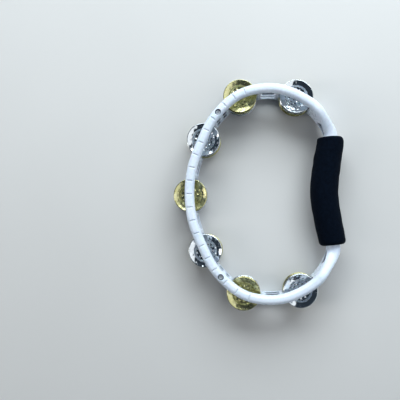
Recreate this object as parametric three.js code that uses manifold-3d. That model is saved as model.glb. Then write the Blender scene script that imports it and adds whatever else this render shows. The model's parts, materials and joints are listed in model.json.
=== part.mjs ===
// Handheld tambourine: a crescent hoop moulded in two halves, seven jingle stations on
// vertical pins, two rows of jingle pairs, and a foam grip on the bowed-in handle.
// Millimetres, +Z up. X runs from the striking side to the handle, Y along the handle.

import * as THREE from 'three';
import { mergeVertices } from 'three/addons/utils/BufferGeometryUtils.js';
import Module from 'manifold-3d';

const wasm = await Module();
wasm.setup();

// ---- Driving dimensions -------------------------------------------------------------

// Centre line of the hoop from the middle of the striking side to the middle of the
// handle. The other half is its mirror image about the X axis.
const HALF_OUTLINE = [
  [-83.1, 0], [-80, 29], [-69.7, 58.1], [-52.4, 90.2], [-21, 116.5], [21.4, 121.1],
  [59.5, 103], [73.2, 86.6], [82, 69.4], [82.2, 59], [78, 36], [73.8, 0],
];

const HOOP_HEIGHT = 48;
const MID = HOOP_HEIGHT / 2;
const SPLIT_GAP = 0.3;          // between the two moulded halves
const RAIL_WIDTH = 11.4;        // away from the handle
const HANDLE_WIDTH = 17;        // of the round handle inside the grip
const RAIL_DEPTH = 8;           // from the crown down to the jingle bay
const CROWN_ROUND = 6;          // height of the rounded part of the rail
const CROWN_FLAT = 3;           // width of the narrow flat along the crown
const HANDLE_FLAT = 2;
const PLATE_HALF = 1.25;        // half thickness of the plate between the two rows
const SKIN = 1.8;               // side walls of the rail where it is hollow
const HOLLOW_ROOF = 3;          // from the crown down to the hollow
const HOLLOW_INSET = 1.2;       // from the end of a window to the end of the hollow

const STATIONS = 7;
const STATION_PITCH = 68.2;     // along the centre line
const BAY_HALF = 20.8;          // half length of a jingle bay
const POST = 4.2;               // thickness of the wall at each end of a bay

const HANDLE_END = 66;          // distances along the centre line from the handle's middle
const HEIGHT_FULL = 103;
const WIDTH_SLIM = 92;
const FOOT_SLIM = 130;          // where the wider foot of the wall has narrowed to the rail's width
const LENS_START = 68.5;
const LENS_END = 90;
const LENS_RISE = 10;           // height of the arch over the lens-shaped window by the grip
const LENS_ROOF = 5.5;          // least material over that window

const CLEARANCE = 0.3;

const PIN_RADIUS = 1.5;
const PIN_END = 3;              // material left beyond each end of a pin

const JINGLE_RADIUS = 19.6;
const JINGLE_BORE = 2.3;
const JINGLE_CUP = 12;          // radius of the sunken hammered middle
const JINGLE_CUP_DEPTH = 1.5;
const JINGLE_HEIGHT = 4;
const JINGLE_SHEET = 0.7;

const SCREW_STATION = 103.4;
const HANDLE_SCREW = 44;        // from the handle's middle, under the foam
const SCREW_HEAD = 2.6;
const SCREW_RECESS = 3.3;
const SCREW_SHANK = 1.5;
const SCREW_HEAD_DEPTH = 2.6;   // from the crown to the top of the head
const SCREW_REACH = 11;         // of the shank below the split
const BOSS_RADIUS = 4.4;

const GRIP_HALF = 63.8;
const GRIP_SHIFT = 2.3;         // of the sleeve along the handle
const GRIP_END_RADIUS = 15.3;
const GRIP_MID_RADIUS = 16.2;
const GRIP_CORNER = 3;
const GRIP_BORE = 9.4;

const HOOP_STATIONS = 80;
const CROWN_STEPS = 3;          // facets in each quarter of the crown
const ROUND = 10;               // facets round pins, screws and holes
const JINGLE_FACETS = 16;
const GRIP_FACETS = 16;
const GRIP_STEPS = 14;

// ---- Materials ----------------------------------------------------------------------

const abs = new THREE.MeshStandardMaterial({ color: 0xe8edf3, roughness: 0.35, metalness: 0 });
const steel = new THREE.MeshStandardMaterial({ color: 0xc8cbce, roughness: 0.2, metalness: 1 });
const brass = new THREE.MeshStandardMaterial({ color: 0xb79a4c, roughness: 0.25, metalness: 1 });
const foam = new THREE.MeshStandardMaterial({ color: 0x0c1018, roughness: 0.95, metalness: 0 });
const zinc = new THREE.MeshStandardMaterial({ color: 0x8f9396, roughness: 0.35, metalness: 1 });

// ---- The centre line ----------------------------------------------------------------

const lowerHalf = HALF_OUTLINE.slice(1, -1).map(([x, y]) => [x, -y]);
const outline = [HALF_OUTLINE[0], ...lowerHalf, HALF_OUTLINE.at(-1),
  ...HALF_OUTLINE.slice(1, -1).reverse()];
const centreLine = new THREE.CatmullRomCurve3(
  outline.map(([x, y]) => new THREE.Vector3(x, y, 0)), true, 'centripetal');
centreLine.arcLengthDivisions = 2000;
const LENGTH = centreLine.getLength();

// A point at distance s along the line from the middle of the striking side, with its
// outward direction.
function along(s) {
  const u = THREE.MathUtils.euclideanModulo(s / LENGTH, 1);
  const tangent = centreLine.getTangentAt(u);
  const outward = new THREE.Vector3(tangent.y, -tangent.x, 0);
  return { point: centreLine.getPointAt(u), outward };
}

function fromHandle(s) {
  return Math.abs(LENGTH / 2 - THREE.MathUtils.euclideanModulo(s, LENGTH));
}

// Height of the crown over the split, and width that narrows away from the handle.
function crownHeight(s) {
  const rise = THREE.MathUtils.smoothstep(fromHandle(s), HANDLE_END, HEIGHT_FULL);
  return THREE.MathUtils.lerp(HANDLE_WIDTH / 2, MID, rise);
}

function widthAt(s, slimFrom) {
  const slim = THREE.MathUtils.smoothstep(fromHandle(s), HANDLE_END, slimFrom);
  return THREE.MathUtils.lerp(HANDLE_WIDTH, RAIL_WIDTH, slim);
}

// ---- Solids -------------------------------------------------------------------------

// Triangles between rows of points, each row a closed ring. The rows close on
// themselves, or are capped at both ends.
function loft(rows, closed) {
  const count = rows[0].length;
  const positions = rows.flat().flatMap((p) => [p.x, p.y, p.z]);
  const indices = [];
  const last = closed ? rows.length : rows.length - 1;
  for (let i = 0; i < last; i += 1) {
    const next = (i + 1) % rows.length;
    for (let j = 0; j < count; j += 1) {
      const k = (j + 1) % count;
      const [a, b, c, d] = [i * count + j, next * count + j, next * count + k, i * count + k];
      indices.push(a, b, c, a, c, d);
    }
  }
  if (!closed) {
    const end = (rows.length - 1) * count;
    for (let j = 1; j < count - 1; j += 1) {
      indices.push(0, j, j + 1);
      indices.push(end, end + j + 1, end + j);
    }
  }
  const geometry = new THREE.BufferGeometry();
  geometry.setAttribute('position', new THREE.Float32BufferAttribute(positions, 3));
  geometry.setIndex(indices);
  return geometry;
}

function toSolid(geometry) {
  const bare = geometry.clone();
  bare.deleteAttribute('normal');
  bare.deleteAttribute('uv');
  const merged = mergeVertices(bare, 1e-4);
  return new wasm.Manifold(new wasm.Mesh({
    numProp: 3,
    vertProperties: new Float32Array(merged.attributes.position.array),
    triVerts: new Uint32Array(merged.index.array),
  }));
}

function toGeometry(solid) {
  const mesh = solid.getMesh();
  const geometry = new THREE.BufferGeometry();
  geometry.setAttribute('position', new THREE.BufferAttribute(mesh.vertProperties, 3));
  geometry.setIndex(new THREE.BufferAttribute(mesh.triVerts, 1));
  return geometry;
}

// An upright round bar centred on the hoop's line at s, between two heights.
function bar(s, radius, low, high) {
  const geometry = new THREE.CylinderGeometry(radius, radius, high - low, ROUND);
  geometry.rotateX(Math.PI / 2);
  const { point } = along(s);
  geometry.translate(point.x, point.y, (low + high) / 2);
  return toSolid(geometry);
}

// A slot from one distance to another, ending square to the hoop's line. It crosses the
// rail, or reaches as far from its line as it is told to.
function slot(from, to, low, roof, steps, reachAt = () => HANDLE_WIDTH) {
  const rows = [];
  for (let i = 0; i <= steps; i += 1) {
    const s = from + ((to - from) * i) / steps;
    const { point, outward } = along(s);
    const reach = reachAt(s);
    const corner = (side, z) => point.clone().addScaledVector(outward, side * reach).setZ(z);
    rows.push([corner(1, low), corner(1, roof(s)), corner(-1, roof(s)), corner(-1, low)]);
  }
  return toSolid(loft(rows, false));
}

// ---- One moulded half: rail, end walls, half of the dividing plate, half handle ------

// Section of the half hoop at s: flat at the split, rounded at the crown.
function halfSection(s) {
  const { point, outward } = along(s);
  const height = crownHeight(s);
  const half = widthAt(s, WIDTH_SLIM) / 2;
  const slim = THREE.MathUtils.smoothstep(fromHandle(s), HANDLE_END, HEIGHT_FULL);
  const flat = THREE.MathUtils.lerp(HANDLE_FLAT, CROWN_FLAT, slim) / 2;
  const round = THREE.MathUtils.lerp(HANDLE_WIDTH / 2 - 2 * SPLIT_GAP, CROWN_ROUND, slim);
  const right = [[widthAt(s, FOOT_SLIM) / 2, SPLIT_GAP / 2]];
  for (let i = 0; i <= CROWN_STEPS; i += 1) {
    const angle = (Math.PI / 2) * (i / CROWN_STEPS);
    const x = flat + (half - flat) * Math.cos(angle);
    right.push([x, height - round + round * Math.sin(angle)]);
  }
  const left = right.map(([x, z]) => [-x, z]).reverse();
  return [...right, ...left].map(
    ([x, z]) => point.clone().addScaledVector(outward, x).setZ(z));
}

const bayCeiling = MID - RAIL_DEPTH;
const pinReach = MID - PIN_END;
const stationDistance = (number) => (number - (STATIONS + 1) / 2) * STATION_PITCH;

// Opens a window across the rail, the plate behind it, and a hollow above it, leaving thin
// walls and a narrow rib of the plate at each side.
function openWindow(solid, from, to, roof, hollowRoof, steps) {
  const inside = (s) => widthAt(s, WIDTH_SLIM) / 2 - SKIN;
  const start = from + HOLLOW_INSET;
  const end = to - HOLLOW_INSET;
  return solid
    .subtract(slot(from, to, PLATE_HALF, roof, steps))
    .subtract(slot(start, end, -1, hollowRoof, steps, inside));
}

function halfHoop() {
  const rows = [];
  for (let i = 0; i < HOOP_STATIONS; i += 1) {
    rows.push(halfSection((LENGTH * i) / HOOP_STATIONS));
  }
  let solid = toSolid(loft(rows, true));

  const flatRoof = () => bayCeiling;
  const hollowRoof = () => MID - HOLLOW_ROOF;
  const windowFrom = BAY_HALF + POST;
  const windowTo = STATION_PITCH - windowFrom;
  for (let number = 1; number <= STATIONS; number += 1) {
    const s = stationDistance(number);
    solid = solid.subtract(slot(s - BAY_HALF, s + BAY_HALF, PLATE_HALF, flatRoof, 1));
    if (number < STATIONS) {
      solid = openWindow(solid, s + windowFrom, s + windowTo, flatRoof, hollowRoof, 2);
    }
    solid = solid.subtract(bar(s, PIN_RADIUS + CLEARANCE, -1, pinReach + CLEARANCE));
  }
  const lensRoof = (s) => {
    const part = (fromHandle(s) - LENS_START) / (LENS_END - LENS_START);
    const arch = PLATE_HALF + CLEARANCE + LENS_RISE * Math.sin(Math.PI * part);
    return Math.min(arch, crownHeight(s) - LENS_ROOF);
  };
  for (const side of [-1, 1]) {
    const middle = LENGTH / 2 + side * (LENS_START + LENS_END) / 2;
    const half = (LENS_END - LENS_START) / 2;
    solid = openWindow(solid, middle - half, middle + half, lensRoof, lensRoof, 6);
    solid = solid.add(bar(side * SCREW_STATION, BOSS_RADIUS, SPLIT_GAP / 2, MID - 2));
  }
  return solid;
}

const screwPlaces = [SCREW_STATION, -SCREW_STATION,
  LENGTH / 2 - HANDLE_SCREW, LENGTH / 2 + HANDLE_SCREW];
const headTop = (s) => crownHeight(s) - (fromHandle(s) < HANDLE_END ? 1 : SCREW_HEAD_DEPTH);
const screwReach = (s) => (fromHandle(s) < HANDLE_END ? HANDLE_WIDTH / 2 - 3 : SCREW_REACH);

function upperHalf() {
  let solid = halfHoop();
  for (const s of screwPlaces) {
    const seat = headTop(s) - SCREW_HEAD - CLEARANCE;
    solid = solid.subtract(bar(s, SCREW_RECESS, seat, MID + 1));
    solid = solid.subtract(bar(s, SCREW_SHANK + CLEARANCE, -1, seat + 1));
  }
  return toGeometry(solid);
}

// Drawn upside down: turning it half round about the X axis puts it under the other half.
function lowerHalfTurned() {
  let solid = halfHoop();
  for (const s of screwPlaces) {
    const reach = screwReach(s) + CLEARANCE;
    solid = solid.subtract(bar(s, SCREW_SHANK + CLEARANCE, -1, reach));
  }
  return toGeometry(solid);
}

// ---- Loose pieces -------------------------------------------------------------------

// A hammered sheet-metal dish, hollow side up, standing on its convex middle at z = 0.
function jingleGeometry() {
  const under = [
    [JINGLE_BORE, 0], [JINGLE_CUP - 0.8, 0], [JINGLE_CUP + 0.8, JINGLE_CUP_DEPTH],
    [JINGLE_RADIUS, JINGLE_HEIGHT - JINGLE_SHEET],
  ];
  const top = under.map(([r, z]) => [r, z + JINGLE_SHEET]);
  const profile = [...under, ...top.reverse(), under[0]];
  const geometry = new THREE.LatheGeometry(
    profile.map(([x, y]) => new THREE.Vector2(x, y)), JINGLE_FACETS);
  geometry.rotateX(Math.PI / 2);
  return geometry;
}

function pinGeometry() {
  const geometry = new THREE.CylinderGeometry(PIN_RADIUS, PIN_RADIUS, 2 * pinReach, ROUND);
  geometry.rotateX(Math.PI / 2);
  return geometry;
}

// A cross-head screw with the top of its head at z = 0.
function screwGeometry(length) {
  const profile = [
    [0, -length], [SCREW_SHANK, -length + 1.5], [SCREW_SHANK, -SCREW_HEAD],
    [SCREW_HEAD, -1.2], [SCREW_HEAD, -0.3], [SCREW_HEAD - 0.4, 0], [0, 0],
  ];
  const turned = new THREE.LatheGeometry(
    profile.map(([x, y]) => new THREE.Vector2(x, y)), ROUND);
  turned.rotateX(Math.PI / 2);
  let solid = toSolid(turned);
  for (const [x, y] of [[3, 0.7], [0.7, 3]]) {
    solid = solid.subtract(toSolid(new THREE.BoxGeometry(x, y, 1.6)));
  }
  return toGeometry(solid);
}

// A foam sleeve round the handle, fuller in the middle, with rounded ends.
function gripGeometry() {
  const centre = LENGTH / 2 + GRIP_SHIFT;
  const ring = (offset, radius) => {
    const { point, outward } = along(centre + offset);
    return Array.from({ length: GRIP_FACETS }, (_, j) => {
      const angle = (2 * Math.PI * j) / GRIP_FACETS;
      const across = radius * Math.cos(angle);
      return point.clone().addScaledVector(outward, across).setZ(radius * Math.sin(angle));
    });
  };
  const skin = (offset) => THREE.MathUtils.lerp(
    GRIP_MID_RADIUS, GRIP_END_RADIUS, (offset / GRIP_HALF) ** 2);
  const rows = [ring(-GRIP_HALF, GRIP_END_RADIUS - GRIP_CORNER)];
  const full = GRIP_HALF - GRIP_CORNER;
  for (let i = 0; i <= GRIP_STEPS; i += 1) {
    const offset = -full + (2 * full * i) / GRIP_STEPS;
    rows.push(ring(offset, skin(offset)));
  }
  rows.push(ring(GRIP_HALF, GRIP_END_RADIUS - GRIP_CORNER));
  for (let i = GRIP_STEPS; i >= 0; i -= 1) {
    rows.push(ring(-GRIP_HALF + (2 * GRIP_HALF * i) / GRIP_STEPS, GRIP_BORE));
  }
  return loft(rows, true);
}

// ---- Assembly -----------------------------------------------------------------------

const group = new THREE.Group();

function place(name, geometry, material, position) {
  const mesh = new THREE.Mesh(geometry, material);
  mesh.name = name;
  mesh.position.copy(position);
  group.add(mesh);
  return mesh;
}

const split = new THREE.Vector3(0, 0, MID);
place('upper_frame', upperHalf(), abs, split);
place('lower_frame', lowerHalfTurned(), abs, split).rotation.x = Math.PI;
place('foam_grip', gripGeometry(), foam, split);

screwPlaces.forEach((s, i) => {
  const top = headTop(s);
  const position = along(s).point.clone().setZ(MID + top);
  place(`screw_${i + 1}`, screwGeometry(top + screwReach(s)), zinc, position);
});

// Each row holds a pair of dishes back to back: the bottom one rim down, resting on the
// floor of its bay, and the top one rim up, resting on the other's back.
const rowFloors = { high: MID + PLATE_HALF, low: RAIL_DEPTH };
const dish = jingleGeometry();

for (let number = 1; number <= STATIONS; number += 1) {
  const { point } = along(stationDistance(number));
  place(`pin_${number}`, pinGeometry(), zinc, point.clone().setZ(MID));
  for (const [row, floor] of Object.entries(rowFloors)) {
    const metal = (number % 2 === 1) === (row === 'high') ? steel : brass;
    const back = floor + CLEARANCE + JINGLE_HEIGHT;
    const bottom = place(`jingle_${number}_${row}_bottom`, dish, metal, point.clone().setZ(back));
    bottom.rotation.x = Math.PI;
    place(`jingle_${number}_${row}_top`, dish, metal, point.clone().setZ(back + CLEARANCE));
  }
}

// The origin is under the middle of the whole object, on the surface it lies on.
const box = new THREE.Box3().setFromObject(group);
group.position.x = -(box.min.x + box.max.x) / 2;
group.position.y = -(box.min.y + box.max.y) / 2;

export default group;
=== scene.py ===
import json
import math
import random
from functools import partial

import bmesh
import bpy
import numpy as np
from mathutils import Euler, Matrix, Vector
from mathutils.kdtree import KDTree


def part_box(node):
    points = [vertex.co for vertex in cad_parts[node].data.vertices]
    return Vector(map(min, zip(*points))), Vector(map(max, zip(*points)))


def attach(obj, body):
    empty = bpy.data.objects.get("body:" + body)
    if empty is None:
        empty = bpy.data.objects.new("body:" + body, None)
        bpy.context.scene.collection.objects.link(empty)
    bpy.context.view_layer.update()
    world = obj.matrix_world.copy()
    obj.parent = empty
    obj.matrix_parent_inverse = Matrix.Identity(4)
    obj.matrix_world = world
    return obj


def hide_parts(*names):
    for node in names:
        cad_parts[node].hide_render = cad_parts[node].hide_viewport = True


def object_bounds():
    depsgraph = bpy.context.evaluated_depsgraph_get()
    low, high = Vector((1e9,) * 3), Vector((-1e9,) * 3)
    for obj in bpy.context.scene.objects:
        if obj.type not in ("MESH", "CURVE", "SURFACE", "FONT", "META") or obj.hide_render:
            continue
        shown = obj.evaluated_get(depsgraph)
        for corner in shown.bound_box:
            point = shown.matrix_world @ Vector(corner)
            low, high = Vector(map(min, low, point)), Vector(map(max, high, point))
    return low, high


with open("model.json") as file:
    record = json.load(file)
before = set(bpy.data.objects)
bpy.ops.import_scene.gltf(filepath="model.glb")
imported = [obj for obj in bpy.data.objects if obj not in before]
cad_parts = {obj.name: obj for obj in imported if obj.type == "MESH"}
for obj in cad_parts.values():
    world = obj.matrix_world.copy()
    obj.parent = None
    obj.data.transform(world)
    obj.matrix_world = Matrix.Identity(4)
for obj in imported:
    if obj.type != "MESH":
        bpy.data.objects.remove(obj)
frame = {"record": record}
cad_low, cad_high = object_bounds()

MM = 0.001
rng = random.Random(11)

# ---- The hoop's dimensions, in millimetres ---------------------------------------------

# Centre line of the hoop from the middle of the striking side to the middle of the
# handle. The other half is its mirror image about the X axis.
HALF_OUTLINE = [
    (-83.1, 0), (-80, 29), (-69.7, 58.1), (-52.4, 90.2), (-21, 116.5), (21.4, 121.1),
    (59.5, 103), (73.2, 86.6), (82, 69.4), (82.2, 59), (78, 36), (73.8, 0),
]
MID = 24                  # height of the split, and of each half
SPLIT_GAP = 0.3
CLEARANCE = 0.6           # least height of the lens window over the plate
RAIL_WIDTH = 11.4
HANDLE_WIDTH = 17
RAIL_DEPTH = 8            # from the crown down to the ceiling of a bay
CROWN_ROUND = 6
CROWN_FLAT = 2
PLATE_HALF = 1.25         # each half's share of the plate between the rows
SKIN = 1.8                # walls round the rail's hollow
HOLLOW_ROOF = 3
HOLLOW_FLOOR = -3         # under the split, so that the plate is open below the hollow
HOLLOW_INSET = 1.2
STATIONS = 7
STATION_PITCH = 68.2
BAY_HALF = 20.8
POST = 4.2                # wall between a bay and the window beside it

# Where the handle turns into the rail, as distances from the middle of the handle.
HANDLE_END = 66
HEIGHT_FULL = 103
WIDTH_SLIM = 92           # the crown is as slim as the rail from here
FOOT_SLIM = 130           # and the foot of the wall from here
LENS_START = 68.5
LENS_END = 90
LENS_RISE = 10
LENS_ROOF = 5.5

# Screws and pins. Those of the rail are at a distance from the striking side, those of the
# handle at one from its middle.
SCREW_STATION = 103.4
HANDLE_SCREW = 44
BOSS_RADIUS = 4.4
BOSS_TOP = MID - 2
SCREW_HOLE = 1.8
SCREW_RECESS = 3.3
RECESS_DEPTH = 5.4
HANDLE_RECESS_DEPTH = 4
RECESS_EDGE = 0.7         # chamfer at the recess's mouth
SCREW_SHANK = 1.45
SCREW_HEAD = 2.6
PIN_RADIUS = 1.5
PIN_HOLE = 1.7
PIN_REACH = MID - 3

# Grooves across the crown of the upper rail: first distance, spacing, count.
GROOVE_ROWS = [(-94, 15.5, 13), (111, 16.2, 3), (-142.8, 14.1, 3)]
GROOVE_HALF_WIDTH = 0.75
GROOVE_HALF_LENGTH = 3.4
GROOVE_DEPTH = 0.9

JINGLE_RADIUS = 19.6
JINGLE_BORE = 2.3
JINGLE_SHEET = 0.6
JINGLE_PATTERNS = 3       # dishes of each metal that the jingles share

# Rings of hammer marks on a jingle: radius, count, half width, depth.
HAMMER_RINGS = [(5.4, 7, 1.5, 0.36), (9.1, 11, 1.6, 0.4), (12.5, 19, 1.2, 0.3),
                (16.3, 17, 2.4, 0.11)]

GRIP_HALF = 63.8
GRIP_SHIFT = 2.3
GRIP_END_RADIUS = 15.3
GRIP_MID_RADIUS = 16.2
GRIP_CORNER = 4.5
GRIP_BORE = 9.2
GRIP_LIP = 0.8            # chamfer at the mouth of the bore
GRIP_WAVES = 14           # ripples laid over one another on the skin
GRIP_WAVE_HEIGHT = 0.035

MOST_TRIANGLES = 190000   # of one piece


def smoothstep(x, low, high):
    t = np.clip((np.asarray(x, float) - low) / (high - low), 0, 1)
    return t * t * (3 - 2 * t)


# ---- The hoop's centre line ---------------------------------------------------------------

def spline(points, steps=300):
    """A closed centripetal Catmull-Rom curve through the points."""
    count = len(points)
    t = np.linspace(0, 1, steps, endpoint=False)[:, None]
    spans = []
    for i in range(count):
        a, b, c, d = (points[(i + k) % count] for k in (-1, 0, 1, 2))
        before, here, after = (np.sum((q - p) ** 2) ** 0.25 for p, q in ((a, b), (b, c), (c, d)))
        leave = ((b - a) / before - (c - a) / (before + here) + (c - b) / here) * here
        enter = ((c - b) / here - (d - b) / (here + after) + (d - c) / after) * here
        spans.append(b + leave * t + (3 * (c - b) - 2 * leave - enter) * t ** 2
                     + (2 * (b - c) + leave + enter) * t ** 3)
    return np.vstack(spans)


def box_centre(node):
    low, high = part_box(node)
    return (low + high) / 2


mirrored = [(x, -y) for x, y in HALF_OUTLINE[1:-1]]
outline = [HALF_OUTLINE[0], *mirrored, HALF_OUTLINE[-1], *HALF_OUTLINE[1:-1][::-1]]
LINE = spline(np.array(outline, float))
ORIGIN_X = box_centre("pin_4").x / MM - HALF_OUTLINE[0][0]
LINE[:, 0] += ORIGIN_X
LINE = np.vstack([LINE, LINE[:1]])
DISTANCE = np.concatenate([[0], np.cumsum(np.linalg.norm(np.diff(LINE, axis=0), axis=1))])
LENGTH = DISTANCE[-1]


def along(s):
    """Points on the centre line at distances s from the striking side, and outward directions."""
    s = np.asarray(s, float)

    def point(distance):
        wrapped = np.mod(distance, LENGTH)
        return np.stack([np.interp(wrapped, DISTANCE, LINE[:, k]) for k in (0, 1)], -1)

    tangent = point(s + 0.5) - point(s - 0.5)
    tangent /= np.linalg.norm(tangent, axis=-1, keepdims=True)
    return point(s), np.stack([tangent[..., 1], -tangent[..., 0]], -1)


def place(s, x, z):
    """Points at distance s along the hoop, x outward from its line, and height z over the split."""
    s, x, z = np.broadcast_arrays(*(np.asarray(v, float) for v in (s, x, z)))
    centre, outward = along(s)
    flat = centre + outward * x[..., None]
    return np.concatenate([flat, z[..., None]], -1)


def from_handle(s):
    """Distance along the hoop from the middle of the handle."""
    return np.abs(LENGTH / 2 - np.mod(s, LENGTH))


def crown_height(s):
    rise = smoothstep(from_handle(s), HANDLE_END, HEIGHT_FULL)
    return HANDLE_WIDTH / 2 + (MID - HANDLE_WIDTH / 2) * rise


def width_at(s, slim_from):
    slim = smoothstep(from_handle(s), HANDLE_END, slim_from)
    return HANDLE_WIDTH + (RAIL_WIDTH - HANDLE_WIDTH) * slim


# ---- Mesh tools -----------------------------------------------------------------------------

def grid_object(name, rows, wrap=True):
    """A closed skin over rows of points in millimetres, each row a ring. The rows wrap round, or
    the first and last are capped."""
    n, m = rows.shape[:2]
    i = np.arange(n if wrap else n - 1)[:, None]
    j = np.arange(m)[None, :]
    after, beside = (i + 1) % n, (j + 1) % m
    quads = np.stack([i * m + j, after * m + j, after * m + beside, i * m + beside], -1)
    faces = quads.reshape(-1, 4).tolist()
    if not wrap:
        faces += [list(range(m)), list(range(n * m - 1, (n - 1) * m - 1, -1))]
    mesh = bpy.data.meshes.new(name)
    mesh.from_pydata((rows.reshape(-1, 3) * MM).tolist(), [], faces)
    face_out(mesh)
    return link(name, mesh)


def face_out(mesh):
    work = bmesh.new()
    work.from_mesh(mesh)
    if work.calc_volume(signed=True) < 0:
        bmesh.ops.reverse_faces(work, faces=work.faces)
    work.to_mesh(mesh)
    work.free()


def link(name, mesh):
    piece = bpy.data.objects.new(name, mesh)
    bpy.context.scene.collection.objects.link(piece)
    return piece


def turned(name, profile, steps=48):
    """A body of revolution about Z. The profile is (radius, height) points round a closed
    section, or from the axis to the axis."""
    profile = np.array(profile, float)
    angle = np.linspace(0, 2 * math.pi, steps, endpoint=False)[:, None]
    rows = np.stack([profile[:, 0] * np.cos(angle), profile[:, 0] * np.sin(angle),
                     np.broadcast_to(profile[:, 1], (steps, len(profile)))], -1)
    piece = grid_object(name, rows)
    work = bmesh.new()
    work.from_mesh(piece.data)
    bmesh.ops.remove_doubles(work, verts=work.verts, dist=1e-7)
    bmesh.ops.dissolve_degenerate(work, edges=work.edges, dist=1e-7)
    work.to_mesh(piece.data)
    work.free()
    return piece


def settle(piece):
    """Applies the piece's modifiers."""
    bpy.context.view_layer.update()
    shown = piece.evaluated_get(bpy.context.evaluated_depsgraph_get())
    mesh = bpy.data.meshes.new_from_object(shown)
    piece.modifiers.clear()
    piece.data = mesh


def boolean(piece, tools, operation):
    """Joins the tools to the piece, or cuts them from it, and deletes them."""
    for tool in tools:
        step = piece.modifiers.new("step", "BOOLEAN")
        step.operation = operation
        step.solver = "MANIFOLD"
        step.object = tool
    settle(piece)
    for tool in tools:
        bpy.data.objects.remove(tool)


def smooth_shading(piece):
    piece.data.polygons.foreach_set("use_smooth", [True] * len(piece.data.polygons))
    piece.data.update()


def shade_by_angle(piece, limit=0.6):
    """Smooth, but sharp at edges that turn by more than the limit, in radians."""
    smooth_shading(piece)
    work = bmesh.new()
    work.from_mesh(piece.data)
    for edge in work.edges:
        edge.smooth = edge.calc_face_angle(0) < limit
    work.to_mesh(piece.data)
    work.free()


def finish_piece(piece, slot, body, node):
    """Gives the piece its material and body, and has it stand for its CAD node."""
    piece.data.materials.clear()
    piece.data.materials.append(MATERIALS[slot])
    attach(piece, body)
    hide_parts(node)


# ---- The two moulded halves ---------------------------------------------------------------------

def half_section(s, steps=9):
    """Offsets and heights round the section of the half hoop at distances s."""
    height, half = crown_height(s), width_at(s, WIDTH_SLIM) / 2
    slim = smoothstep(from_handle(s), HANDLE_END, HEIGHT_FULL)
    flat = CROWN_FLAT / 2
    rounding = HANDLE_WIDTH / 2 - 2 * SPLIT_GAP
    rounding = rounding + (CROWN_ROUND - rounding) * slim
    angle = np.linspace(0, math.pi / 2, steps)
    x = flat * (1 - np.cos(angle)) + half[:, None] * np.cos(angle)
    z = (height - rounding)[:, None] + rounding[:, None] * np.sin(angle)
    foot_x = width_at(s, FOOT_SLIM)[:, None] / 2
    foot_z = np.full_like(foot_x, SPLIT_GAP / 2)
    right_x, right_z = np.hstack([foot_x, x]), np.hstack([foot_z, z])
    return np.hstack([right_x, -right_x[:, ::-1]]), np.hstack([right_z, right_z[:, ::-1]])


def beyond(s):
    """Half the width of a cutter that crosses the rail."""
    return np.full_like(s, 16)


def inside(s):
    """Half the width of the rail's hollow at distances s."""
    return width_at(s, WIDTH_SLIM) / 2 - SKIN


def slot_cutter(start, end, low, roof, reach=beyond, corner=1.6):
    """A cutter along the rail with rounded corners. roof and reach give its height and half
    its width at distances s."""
    span = np.linspace(start + corner, end - corner, 24)
    bend = np.linspace(0, math.pi / 2, 6)[:-1]
    leave, back = corner * np.sin(bend), corner * np.cos(bend)
    s = np.concatenate([
        span, end - corner + leave, [end], end - corner + back,
        span[::-1], start + corner - leave, [start], start + corner - back])
    top = roof(s)
    room = np.minimum(corner, (top - low) / 2)
    # How far each point is off the floor or the roof, as a share of the corner's height.
    n, m = len(span), len(bend)
    flat, up, down = np.zeros(n), 1 - np.cos(bend), 1 - np.sin(bend)
    off = np.concatenate([flat, up, [1], down, flat, up, [1], down])
    on_floor = np.repeat([True, False, True], [n + m + 1, m + n + m, 1 + m])
    z = np.where(on_floor, low + room * off, top - room * off)
    rows = np.stack([place(s, side * reach(s), z) for side in (-1, 0, 1)])
    return grid_object("cutter", rows, wrap=False)


def level(height, s):
    return np.full_like(s, height)


def lens_roof(s):
    """Height of the arched window by the grip at distances s."""
    part = (from_handle(s) - LENS_START) / (LENS_END - LENS_START)
    arch = PLATE_HALF + CLEARANCE + LENS_RISE * np.sin(math.pi * np.clip(part, 0, 1))
    return np.minimum(arch, crown_height(s) - LENS_ROOF)


def post(s, radius, low, high, steps=32):
    """An upright round bar on the hoop's line at distance s."""
    angle = np.linspace(0, 2 * math.pi, steps, endpoint=False)
    centre, _ = along(s)
    ring = np.stack([centre[0] + radius * np.cos(angle), centre[1] + radius * np.sin(angle)], -1)
    rows = np.stack([np.column_stack([ring, np.full(steps, z)]) for z in (low, high)])
    return grid_object("post", rows, wrap=False)


def half_hoop():
    """The upper half, with its split at height 0, before its screw recesses and grooves."""
    s = np.arange(0, LENGTH - 0.5, 1.0)
    x, z = half_section(s)
    piece = grid_object("hoop_upper", place(s[:, None], x, z))
    ceiling, hollow = (partial(level, MID - depth) for depth in (RAIL_DEPTH, HOLLOW_ROOF))
    centres = [(k - (STATIONS - 1) / 2) * STATION_PITCH for k in range(STATIONS)]
    edge = BAY_HALF + POST
    windows = [(c + edge, c + STATION_PITCH - edge, ceiling, hollow) for c in centres[:-1]]
    for start, end in ((-LENS_END, -LENS_START), (LENS_START, LENS_END)):
        windows.append((LENGTH / 2 + start, LENGTH / 2 + end, lens_roof, lens_roof))
    cutters = [slot_cutter(c - BAY_HALF, c + BAY_HALF, PLATE_HALF, ceiling) for c in centres]
    for start, end, roof, high_roof in windows:
        cutters.append(slot_cutter(start, end, PLATE_HALF, roof))
        start, end = start + HOLLOW_INSET, end - HOLLOW_INSET
        cutters.append(slot_cutter(start, end, HOLLOW_FLOOR, high_roof, inside))
    boolean(piece, cutters, "DIFFERENCE")
    bosses = [post(side * SCREW_STATION, BOSS_RADIUS, SPLIT_GAP / 2, BOSS_TOP) for side in (-1, 1)]
    boolean(piece, bosses, "UNION")
    holes = [post(c, PIN_HOLE, -1, PIN_REACH) for c in centres]
    boolean(piece, holes, "DIFFERENCE")
    return piece


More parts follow.
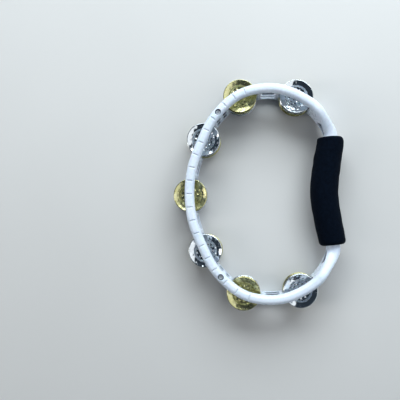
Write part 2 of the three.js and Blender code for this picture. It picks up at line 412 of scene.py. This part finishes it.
def mould(piece, voxel=0.7, passes=4):
    """Rounds the piece's edges as a moulding's are, and gives it an even mesh."""
    remesh = piece.modifiers.new("remesh", "REMESH")
    remesh.mode = "VOXEL"
    remesh.voxel_size = voxel * MM
    relax = piece.modifiers.new("relax", "SMOOTH")
    relax.factor = 0.5
    relax.iterations = passes
    settle(piece)


def thin(piece, most=MOST_TRIANGLES):
    """Merges the smallest triangles of a piece that has more of them than it needs."""
    count = sum(len(face.vertices) - 2 for face in piece.data.polygons)
    if count > most:
        fewer = piece.modifiers.new("fewer", "DECIMATE")
        fewer.ratio = most / count
        settle(piece)


def recess_cutter(s):
    """A screw's clearance hole and its recess, chamfered at the crown."""
    crown = float(crown_height(s))
    seat = crown - (RECESS_DEPTH if from_handle(s) > HANDLE_END else HANDLE_RECESS_DEPTH)
    over = crown + 0.3
    profile = [(0, -2), (SCREW_HOLE, -2), (SCREW_HOLE, seat), (SCREW_RECESS, seat),
               (SCREW_RECESS, crown - RECESS_EDGE), (SCREW_RECESS + 0.9, over), (0, over)]
    cutter = turned("recess", profile)
    centre, _ = along(s)
    cutter.data.transform(Matrix.Translation((centre[0] * MM, centre[1] * MM, 0)))
    return cutter


def groove(piece):
    """Presses the short grooves into the crown, after making the mesh finer there."""
    stops = np.concatenate([start + pitch * np.arange(n) for start, pitch, n in GROOVE_ROWS])
    tree = KDTree(len(stops))
    centres, _ = along(stops)
    for k, (x, y) in enumerate(centres):
        tree.insert((x * MM, y * MM, MID * MM), k)
    tree.balance()
    work = bmesh.new()
    work.from_mesh(piece.data)
    near = [f for f in work.faces
            if tree.find(f.calc_center_median())[2] < (GROOVE_HALF_LENGTH + 1.5) * MM]
    edges = list({e for f in near for e in f.edges})
    bmesh.ops.subdivide_edges(work, edges=edges, cuts=2, use_grid_fill=True)
    outward = along(stops)[1]
    for v in work.verts:
        _, k, reach = tree.find(v.co)
        if reach > (GROOVE_HALF_LENGTH + 2) * MM:
            continue
        offset = np.array([v.co.x, v.co.y]) / MM - centres[k]
        across = abs(offset @ outward[k])
        beside = offset @ np.array([-outward[k][1], outward[k][0]])
        depth = GROOVE_DEPTH * math.exp(-((beside / GROOVE_HALF_WIDTH) ** 2))
        depth *= 1 - smoothstep(across, GROOVE_HALF_LENGTH - 0.7, GROOVE_HALF_LENGTH + 0.3)
        v.co.z -= depth * MM
    work.to_mesh(piece.data)
    work.free()


def lift(piece, turn=0.0):
    """Turns a half drawn with its split at height 0 about the X axis and puts it in place."""
    piece.data.transform(Euler((turn, 0, 0)).to_matrix().to_4x4())
    piece.data.transform(Matrix.Translation((0, 0, MID * MM)))


def make_hoop():
    """Both halves. Only the upper one has screw recesses and grooves."""
    upper = half_hoop()
    mould(upper)
    lower = link("hoop_lower", upper.data.copy())
    screw_places = [SCREW_STATION, -SCREW_STATION,
                    LENGTH / 2 - HANDLE_SCREW, LENGTH / 2 + HANDLE_SCREW]
    boolean(upper, [recess_cutter(s) for s in screw_places], "DIFFERENCE")
    groove(upper)
    lift(upper)
    lift(lower, math.pi)
    for piece, node in ((upper, "upper_frame"), (lower, "lower_frame")):
        thin(piece)
        smooth_shading(piece)
        finish_piece(piece, "abs_white", "hoop", node)


# ---- Loose pieces -------------------------------------------------------------------------------

def dish_mesh(name, seed):
    """A hammered dish, hollow side up: a sunken middle with rings of dimples, a flange, and a
    rolled rim."""
    luck = random.Random(seed)
    steps = 144
    bowl_end, bowl_depth, flange_end = 11, 0.35, 18.6
    inner = np.concatenate([np.linspace(JINGLE_BORE, 14.6, 50), np.linspace(15, flange_end, 8)])

    def middle(r):
        """Height of the middle of the sheet: a shallow bowl, a step out of it, a flange."""
        bowl = np.where(r < bowl_end, bowl_depth * (r / bowl_end) ** 2, bowl_depth)
        cup = 1.15 * smoothstep(r, 10.8, 13.6)
        flange = 1.5 * (np.clip(r - 13, 0, None) / 5.6) ** 1.25
        return JINGLE_SHEET / 2 + 0.12 + bowl + cup + flange

    half = JINGLE_SHEET / 2
    base = float(middle(np.array([flange_end]))[0])
    # Round the rolled rim: radius, and height over the end of the flange.
    rim = [(18.95, 0.42), (19.25, 0.36), (19.5, 0.12), (19.6, -0.2), (19.5, -0.5),
           (19.2, -0.66), (18.85, -0.55)]
    r = np.concatenate([inner, [p[0] for p in rim], inner[::-1]])
    z = np.concatenate([middle(inner) + half, [base + p[1] for p in rim],
                        middle(inner[::-1]) - half])
    angle = np.linspace(0, 2 * math.pi, steps, endpoint=False)[:, None]
    height = np.repeat(z[None, :], steps, 0)
    for ring, count, size, depth in HAMMER_RINGS:
        phase = luck.random() * 6.28
        turn = (angle - phase) / (2 * math.pi / count)
        nearest = np.round(turn).astype(int) % count
        strength = np.array([luck.uniform(0.65, 1.15) for _ in range(count)])[nearest]
        shift = np.array([luck.uniform(-0.25, 0.25) for _ in range(count)])[nearest]
        side = (turn - np.round(turn)) * (2 * math.pi / count) * ring
        far = np.sqrt((r - ring - shift) ** 2 + side ** 2)
        height = height - depth * strength * np.clip(1 - (far / size) ** 2, 0, None) ** 1.5
    warp = 0.05 * np.sin(2 * angle + luck.random() * 6) * (r / JINGLE_RADIUS) ** 2
    height = height + warp
    rows = np.stack([r * np.cos(angle), r * np.sin(angle), height], -1)
    piece = grid_object(name, rows)
    smooth_shading(piece)
    mesh = piece.data
    bpy.data.objects.remove(piece)
    return mesh


def make_jingles():
    """Each jingle shares one of a few dishes of its metal, turned on its pin at random."""
    dishes = {(metal, k): dish_mesh(f"dish_{metal}_{k}", 31 * k + len(metal))
              for metal in ("steel", "brass") for k in range(JINGLE_PATTERNS)}
    for (metal, _), mesh in dishes.items():
        mesh.materials.append(MATERIALS[metal])
    for part in frame["record"]["subparts"]:
        node, metal = part["node"], part["material_slot"]
        if not node.startswith("jingle"):
            continue
        low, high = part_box(node)
        centre = (low + high) / 2
        upward = node.endswith("top")
        piece = link(node.replace("jingle", "dish"), dishes[metal, rng.randrange(JINGLE_PATTERNS)])
        piece.location = (centre.x, centre.y, low.z if upward else high.z)
        piece.rotation_euler = (0 if upward else math.pi, 0, rng.uniform(0, 2 * math.pi))
        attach(piece, node)
        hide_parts(node)


def make_pins():
    """Plain wire pins with chamfered ends."""
    for k in range(1, STATIONS + 1):
        node = f"pin_{k}"
        low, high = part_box(node)
        half = (high.z - low.z) / 2 / MM
        profile = [(0, -half), (PIN_RADIUS - 0.4, -half), (PIN_RADIUS, -half + 0.5),
                   (PIN_RADIUS, half - 0.5), (PIN_RADIUS - 0.4, half), (0, half)]
        piece = turned(f"jingle_pin_{k}", profile, 32)
        piece.data.transform(Matrix.Translation((low + high) / 2))
        shade_by_angle(piece)
        finish_piece(piece, "pin_steel", "hoop", node)


def make_screws():
    """Cross-head screws: a domed head with a tapered cross sunk into it."""
    for k in range(1, 5):
        node = f"screw_{k}"
        low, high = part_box(node)
        length = (high.z - low.z) / MM
        profile = [(0, -length), (0.5, -length), (SCREW_SHANK, -length + 2), (SCREW_SHANK, -2.6),
                   (SCREW_HEAD, -1.3), (SCREW_HEAD, -0.75), (2.45, -0.42), (2.1, -0.2),
                   (1.3, -0.04), (0, 0)]
        piece = turned(f"cross_screw_{k}", profile, 40)
        blades = []
        for across in (0, 1):
            wide, narrow = 1.75, 0.36
            top = [(wide, narrow), (-wide, narrow), (-wide, -narrow), (wide, -narrow)]
            rows = np.array([[(x * 0.45, y * 0.7, -1.9) for x, y in top],
                             [(x, y, 0.3) for x, y in top]])
            if across:
                rows = rows[..., [1, 0, 2]]
            blades.append(grid_object("blade", rows, wrap=False))
        boolean(piece, blades, "DIFFERENCE")
        centre = (low + high) / 2
        piece.data.transform(Matrix.Translation((centre.x, centre.y, high.z)))
        shade_by_angle(piece)
        finish_piece(piece, "pin_steel", "hoop", node)


def make_grip():
    """The foam sleeve: fuller in the middle, with rolled ends and an uneven skin."""
    steps, facets = 220, 96
    centre = LENGTH / 2 + GRIP_SHIFT
    full = GRIP_HALF - GRIP_CORNER
    bend = np.linspace(0, math.pi / 2, 7)
    outer = np.linspace(-full, full, steps)
    belly = GRIP_MID_RADIUS - (GRIP_MID_RADIUS - GRIP_END_RADIUS) * (outer / GRIP_HALF) ** 2
    end = belly[0] - GRIP_CORNER
    left_s = -full - GRIP_CORNER * np.cos(bend[:-1])
    left_r = end + GRIP_CORNER * np.sin(bend[:-1])
    mouth = GRIP_BORE + GRIP_LIP
    bore_s = np.linspace(GRIP_HALF - GRIP_LIP, -GRIP_HALF + GRIP_LIP, 60)
    s = np.concatenate([left_s, outer, -left_s[::-1], [GRIP_HALF], bore_s, [-GRIP_HALF]])
    r = np.concatenate([left_r, belly, left_r[::-1], [mouth],
                        np.full(len(bore_s), GRIP_BORE), [mouth]])
    angle = np.linspace(0, 2 * math.pi, facets, endpoint=False)[None, :]
    swell = np.zeros((len(s), facets))
    luck = random.Random(5)
    for _ in range(GRIP_WAVES):
        wave, turns = luck.uniform(0.08, 0.5), luck.randrange(1, 6)
        phase = luck.uniform(0, 6.28)
        swell += GRIP_WAVE_HEIGHT * np.sin(wave * s[:, None] + turns * angle + phase)
    skin = (r > mouth + 0.5)[:, None]
    radius = r[:, None] + swell * skin
    rows = place(centre + s[:, None], radius * np.cos(angle), radius * np.sin(angle))
    rows[..., 2] += MID
    piece = grid_object("grip_sleeve", rows)
    smooth_shading(piece)
    finish_piece(piece, "foam", "hoop", "foam_grip")


# ---- Materials ----------------------------------------------------------------------------------

class Nodes:
    """A material's node tree, with short calls for the nodes used here."""

    def __init__(self, name):
        self.material = bpy.data.materials.new(name)
        self.material.use_nodes = True
        self.tree = self.material.node_tree
        self.shader = self.tree.nodes["Principled BSDF"]

    def add(self, kind, links=(), **values):
        node = self.tree.nodes.new(kind)
        for key, value in values.items():
            if key in node.inputs:
                node.inputs[key].default_value = value
            else:
                setattr(node, key, value)
        for socket, source in links:
            self.tree.links.new(source, node.inputs[socket])
        return node

    def noise(self, scale, detail=3.0, rough=0.55):
        where = self.add("ShaderNodeTexCoord")
        node = self.add("ShaderNodeTexNoise", [("Vector", where.outputs["Object"])])
        node.inputs["Scale"].default_value = scale
        node.inputs["Detail"].default_value = detail
        node.inputs["Roughness"].default_value = rough
        return node.outputs["Fac"]

    def ramp(self, source, stops):
        node = self.add("ShaderNodeValToRGB", [("Fac", source)])
        ramp = node.color_ramp
        while len(ramp.elements) < len(stops):
            ramp.elements.new(0.5)
        for element, (position, colour) in zip(ramp.elements, stops):
            element.position = position
            element.color = (*colour, 1)
        return node.outputs["Color"]

    def grey(self, source, low, high, start=0.3, end=0.7):
        node = self.add("ShaderNodeMapRange", [("Value", source)])
        for key, value in (("From Min", start), ("From Max", end), ("To Min", low), ("To Max", high)):
            node.inputs[key].default_value = value
        return node.outputs["Result"]

    def bump(self, source, distance, strength=1.0, under=None):
        links = [("Height", source)] + ([("Normal", under)] if under else [])
        node = self.add("ShaderNodeBump", links)
        node.inputs["Distance"].default_value = distance
        node.inputs["Strength"].default_value = strength
        return node.outputs["Normal"]

    def set(self, **values):
        for key, value in values.items():
            self.shader.inputs[key.replace("_", " ")].default_value = value

    def feed(self, socket, source):
        self.tree.links.new(source, self.shader.inputs[socket])


def moulded_plastic():
    """Cool white ABS: glossy, faintly rippled, with scuffs that dull it, and with painted shade
    that darkens its colour in its own hollows, grooves and recesses."""
    n = Nodes("abs_white")
    n.set(Metallic=0.0, IOR=1.5, Subsurface_Weight=0.04, Subsurface_Scale=0.004)
    blotch = n.noise(38, 4, 0.6)
    clean = n.ramp(blotch, [(0.25, (0.68, 0.76, 0.88)), (0.5, (0.73, 0.8, 0.9)),
                            (0.8, (0.77, 0.83, 0.91))])
    # Painted shade: ambient occlusion darkens the base colour in the piece's own hollows, windows,
    # grooves and screw recesses.
    painted_hollow_shade = n.add("ShaderNodeAmbientOcclusion", [("Color", clean)], samples=16, only_local=True,
                  Distance=0.014)
    n.feed("Base Color", painted_hollow_shade.outputs["Color"])
    scuff = n.noise(260, 6, 0.7)
    n.feed("Roughness", n.grey(scuff, 0.2, 0.42, 0.35, 0.75))
    ripple = n.bump(n.noise(420, 2, 0.5), 0.00012, 0.5)
    n.feed("Normal", n.bump(n.noise(1900, 2, 0.6), 0.00003, 0.5, ripple))
    return n.material


def hammered_metal(name, stops, rough):
    """Plated sheet with faint turned rings, uneven gloss and dull patches."""
    n = Nodes(name)
    n.set(Metallic=1.0)
    n.feed("Base Color", n.ramp(n.noise(150, 5, 0.65), stops))
    n.feed("Roughness", n.grey(n.noise(420, 5, 0.7), rough, rough + 0.1, 0.35, 0.7))
    where = n.add("ShaderNodeTexCoord")
    rings = n.add("ShaderNodeTexWave", [("Vector", where.outputs["Object"])], wave_type="RINGS",
                  rings_direction="Z")
    rings.inputs["Scale"].default_value = 900
    rings.inputs["Distortion"].default_value = 1.5
    turned_marks = n.bump(rings.outputs["Fac"], 0.000005, 0.4)
    n.feed("Normal", n.bump(n.noise(700, 3, 0.6), 0.00001, 0.5, turned_marks))
    return n.material


def zinc_plate():
    """Greyish zinc plating on the screws and pins."""
    n = Nodes("pin_steel")
    n.set(Metallic=0.35)
    n.feed("Base Color", n.ramp(n.noise(600, 4, 0.6), [(0.3, (0.6, 0.63, 0.67)),
                                                       (0.7, (0.8, 0.83, 0.86))]))
    n.feed("Roughness", n.grey(n.noise(900, 4, 0.6), 0.25, 0.45))
    n.feed("Normal", n.bump(n.noise(2500, 2, 0.5), 0.00002, 0.5))
    return n.material


def closed_cell_foam():
    """Matte blue-black foam rubber: fine open pores over a slightly lumpy skin."""
    n = Nodes("foam")
    n.set(Metallic=0.0, IOR=1.45, Sheen_Weight=0.02, Sheen_Roughness=0.5,
          Specular_IOR_Level=0.09)
    n.feed("Base Color", n.ramp(n.noise(320, 5, 0.7), [(0.3, (0.001, 0.003, 0.008)),
                                                       (0.7, (0.003, 0.008, 0.018))]))
    n.feed("Roughness", n.grey(n.noise(500, 3, 0.6), 0.72, 0.92))
    where = n.add("ShaderNodeTexCoord")
    pores = n.add("ShaderNodeTexVoronoi", [("Vector", where.outputs["Object"])])
    pores.inputs["Scale"].default_value = 1300
    lumps = n.bump(n.noise(170, 4, 0.6), 0.0004, 0.6)
    n.feed("Normal", n.bump(pores.outputs["Distance"], 0.0002, 0.6, lumps))
    return n.material


MATERIALS = {
    "abs_white": moulded_plastic(),
    "steel": hammered_metal("steel", [(0.25, (0.55, 0.58, 0.6)), (0.6, (0.74, 0.77, 0.79)),
                                      (0.85, (0.86, 0.88, 0.89))], 0.04),
    "brass": hammered_metal("brass", [(0.25, (0.45, 0.42, 0.19)), (0.55, (0.66, 0.63, 0.36)),
                                      (0.85, (0.76, 0.74, 0.52))], 0.2),
    "pin_steel": zinc_plate(),
    "foam": closed_cell_foam(),
}


# ---- Camera, floor and lights -------------------------------------------------------------------

# The camera's place, from the middle of the outline's axes, its turn in degrees, and its lens.
CAMERA_AT = (-13.1, -30.8, 753)
CAMERA_TURN = (1.91, 4.68, -0.96)
CAMERA_LENS = 55.3


def make_camera():
    """Almost straight above the hoop, leaning so that the hoop stands right of the middle."""
    data = bpy.data.cameras.new("camera")
    data.sensor_width = 36
    data.lens = CAMERA_LENS
    camera = bpy.data.objects.new("camera", data)
    x, y, z = CAMERA_AT
    camera.location = ((ORIGIN_X + x) * MM, y * MM, z * MM)
    camera.rotation_euler = [math.radians(turn) for turn in CAMERA_TURN]
    bpy.context.scene.collection.objects.link(camera)
    bpy.context.scene.camera = camera


def make_floor():
    """A plain pale floor just under the lowest point."""
    n = Nodes("floor")
    n.set(Roughness=0.6)
    n.feed("Base Color", n.ramp(n.noise(3, 2, 0.5), [(0.3, (0.6, 0.595, 0.585)),
                                                     (0.7, (0.63, 0.625, 0.615))]))
    mesh = bpy.data.meshes.new("floor")
    wide = 6
    corners = [(-wide, -wide, 0), (wide, -wide, 0), (wide, wide, 0), (-wide, wide, 0)]
    mesh.from_pydata(corners, [], [(0, 1, 2, 3)])
    mesh.materials.append(n.material)
    floor = link("floor", mesh)
    floor.location.z = cad_low.z - 0.0001


def make_light(name, where, size, power, colour):
    """A soft box aimed at the middle of the floor."""
    data = bpy.data.lights.new(name, "AREA")
    data.shape = "RECTANGLE"
    data.size, data.size_y = size
    data.energy = power
    data.color = colour
    lamp = bpy.data.objects.new(name, data)
    lamp.location = where
    lamp.rotation_euler = (-Vector(where)).to_track_quat("-Z", "Y").to_euler()
    bpy.context.scene.collection.objects.link(lamp)


def make_world():
    """A pale studio: bright low down all round, and dim overhead."""
    world = bpy.data.worlds.new("studio")
    world.use_nodes = True
    tree = world.node_tree
    where = tree.nodes.new("ShaderNodeTexCoord")
    split = tree.nodes.new("ShaderNodeSeparateXYZ")
    ramp = tree.nodes.new("ShaderNodeValToRGB")
    tree.links.new(where.outputs["Generated"], split.inputs["Vector"])
    tree.links.new(split.outputs["Z"], ramp.inputs["Fac"])
    tree.links.new(ramp.outputs["Color"], tree.nodes["Background"].inputs["Color"])
    low, high = ramp.color_ramp.elements
    low.position, low.color = 0.1, (0.36, 0.39, 0.42, 1)
    high.position, high.color = 0.5, (0.04, 0.052, 0.068, 1)
    bpy.context.scene.world = world


bpy.context.scene.view_settings.view_transform = "Standard"
bpy.context.scene.view_settings.look = "Medium High Contrast"
make_camera()
make_floor()
make_world()
make_light("window", (0.2, 1.15, 0.98), (1.9, 0.85), 29, (0.88, 0.96, 1))
make_light("fill", (0.95, -0.15, 1.25), (1.6, 1.4), 7, (0.95, 0.98, 1))
make_light("side", (-1.3, -0.1, 0.9), (0.35, 1.1), 5, (1, 0.98, 0.95))

make_hoop()
make_grip()
make_pins()
make_screws()
make_jingles()
